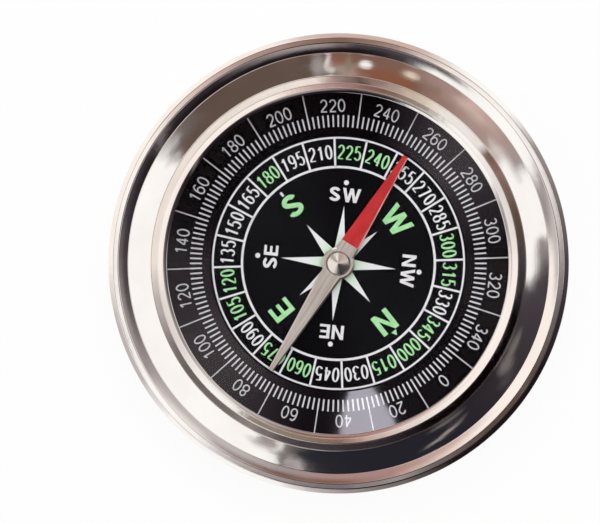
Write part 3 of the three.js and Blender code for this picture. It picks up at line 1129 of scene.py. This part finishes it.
# %% Needle mesh
def needle_mesh():
    bm = bmesh.new()
    levels = [(0, needle_bottom), (0, needle_top - bevel_drop), (bevel, needle_top)]
    loops = [[bm.verts.new((x, y, z)) for x, y in needle_outline(inset)] for inset, z in levels]
    for low_loop, high_loop in zip(loops, loops[1:]):
        for i, v in enumerate(low_loop):
            j = (i + 1) % len(low_loop)
            bm.faces.new((v, low_loop[j], high_loop[j], high_loop[i]))
    holes = []
    for z in (needle_bottom, needle_top):
        holes.append([bm.verts.new(point) for point in circle(needle_hole, 48, z)])
    for i in range(len(holes[0])):
        bm.faces.new((holes[0][i], holes[0][i - 1], holes[1][i - 1], holes[1][i]))
    for loop, hole in ((loops[0], holes[0]), (loops[2], holes[1])):
        half_way = len(loop) // 2
        for tip in (0, half_way):
            bm.faces.new([loop[tip + step] for step in (-2, -1, 0, 1)])
        boss_edge = loop[1:half_way - 1] + loop[half_way + 1:-1]
        edges = [bm.edges.get((a, b)) or bm.edges.new((a, b))
                 for ring_of in (boss_edge, hole) for a, b in zip(ring_of, ring_of[1:] + ring_of[:1])]
        bmesh.ops.triangle_fill(bm, edges=edges, use_beauty=True)
    bmesh.ops.recalc_face_normals(bm, faces=bm.faces)
    for face in bm.faces:
        middle = face.calc_center_median()
        # Painted highlight: the east bevel of the red arm gets a lighter, pinker red, as where light catches
        # it
        highlit_bevel = 0.1 < face.normal.z < 0.99 and middle.x > 0
        if middle.y > paint_start and face.normal.z > 0.1:
            face.material_index = 2 if highlit_bevel else 1
    turn = Matrix.Rotation(-math.radians(needle_bearing), 4, "Z")
    bmesh.ops.transform(bm, matrix=turn @ Matrix.Scale(mm, 4), verts=bm.verts)
    return finished_mesh("needle_blade", bm, 12)


# %% Needle finishes
steel_lines = (2600, 4.0, needle_bearing, 0.04)  # noises drawn out along the needle
paint_lines = (900, 4.0, needle_bearing, 0.3)
# noise of the painted highlight on one bevel of the red arm
highlight_lines = (1500, 4.0, needle_bearing, 0.2)
needle_steel = finish("needle_steel", steel_lines, (0.48, 0.44, 0.40), (0.78, 0.75, 0.72), 0.30, 0.42,
                      grain=(steel_lines, 0.12, 0.03 * mm), Metallic=1.0)
red_paint = finish("red_paint", paint_lines, (0.45, 0.013, 0.017), (0.61, 0.034, 0.038), 0.36, 0.5,
                   grain=(paint_lines, 0.08, 0.03 * mm), Specular_IOR_Level=0.25)
# Lighter, pinker red for one bevel: a painted highlight, not worn paint
bevel_highlight_paint = finish("bevel_highlight_paint", highlight_lines, (0.60, 0.16, 0.15), (0.78, 0.42, 0.38), 0.4, 0.55,
                       ends=(0.35, 0.65), Specular_IOR_Level=0.25)
needle = dress(needle_mesh(), needle_steel, "needle", "needle_steel", "needle")
for paint in (red_paint, bevel_highlight_paint):
    needle.data.materials.append(paint)

# %% [markdown]
# ## The hub
# The hub is a small turned cap riveted through the needle, with the bearing in it. It is cone-shaped with a
# soft edge, and nickel plated, so it shows two bright wedges, as a cone does between a bright and a dark
# side. It is turned from the same kind of section as the large pieces.

# %% Turned hub
cap_bottom = needle_top + seat_gap
cap_top = top_of("needle_hub")
cap_radius = 2.0
cap_edge = cap_bottom + 0.12
cap_shoulder = 1.72
bore = 0.8
bore_top = top_of("jewel_bearing") + seat_gap
collar = 1.55
neck = 1.25
collar_top = needle_bottom - seat_gap
collar_bottom = bottom_of("needle_hub")
cap_line = rounded_line([
    (cap_radius, cap_bottom), (cap_radius, cap_edge, 0.05), (cap_shoulder, cap_edge + 0.3, 0.06),
    (0.15, cap_top - 0.06, 0.2), (0, cap_top - 0.05),
])
hub_section = [(0, bore_top), (bore, bore_top), (bore, collar_bottom), (collar, collar_bottom),
               (collar, collar_top), (neck, collar_top), (neck, cap_bottom)] + cap_line
hub = turned_piece("hub_cap", hub_section, 96)

# %% Nickel plate with fine turning lines
line_step = 0.12 * mm
nickel = finish("nickel_plate", (900, 3.0), (0.74, 0.70, 0.63), (0.83, 0.79, 0.72), 0.27, 0.34, Metallic=1.0)
tree = nickel.node_tree
turns = sum_of(tree, "MULTIPLY", distance_from_axis(tree), math.tau / line_step)
bump_of(tree, sum_of(tree, "SINE", turns), 0.04, 0.01 * mm)
dress(hub, nickel, "needle", "hub_nickel", "needle_hub")

# %% [markdown]
# ## What lies out of sight
# The gasket under the lip, the spacer under the dial, the post, its pin and the jewel hardly show. Their
# solids have the right shape already, so they only get a finish, each with the grain of its own stuff.

# %% Finishes of the hidden solids
hidden = {  # name, dark and light colour, spots to the metre, roughness, metal, grain
    "crystal_gasket": ("black_rubber", (0.010, 0.010, 0.010), (0.022, 0.021, 0.020), 700, 0.7, 0.0, 0.1),
    "dial_spacer": ("moulded_white", (0.62, 0.61, 0.57), (0.72, 0.71, 0.68), 300, 0.5, 0.0, 0.1),
    "pivot_post": ("turned_brass", (0.52, 0.36, 0.14), (0.64, 0.47, 0.20), 900, 0.2, 1.0, 0.05),
    "pivot_pin": ("ground_steel", (0.42, 0.42, 0.44), (0.55, 0.55, 0.57), 2000, 0.22, 1.0, 0.05),
    "jewel_bearing": ("agate", (0.32, 0.13, 0.10), (0.50, 0.26, 0.20), 1200, 0.08, 0.0, 0.02),
}
for node, (name, dark, light, spots, rough, metal, strength) in hidden.items():
    grain = ((spots * 8, 3.0), strength, 0.02 * mm)
    stuff = finish(name, (spots, 3.0), dark, light, rough, rough + 0.12, grain=grain, Metallic=metal)
    finish_solid(node, stuff)
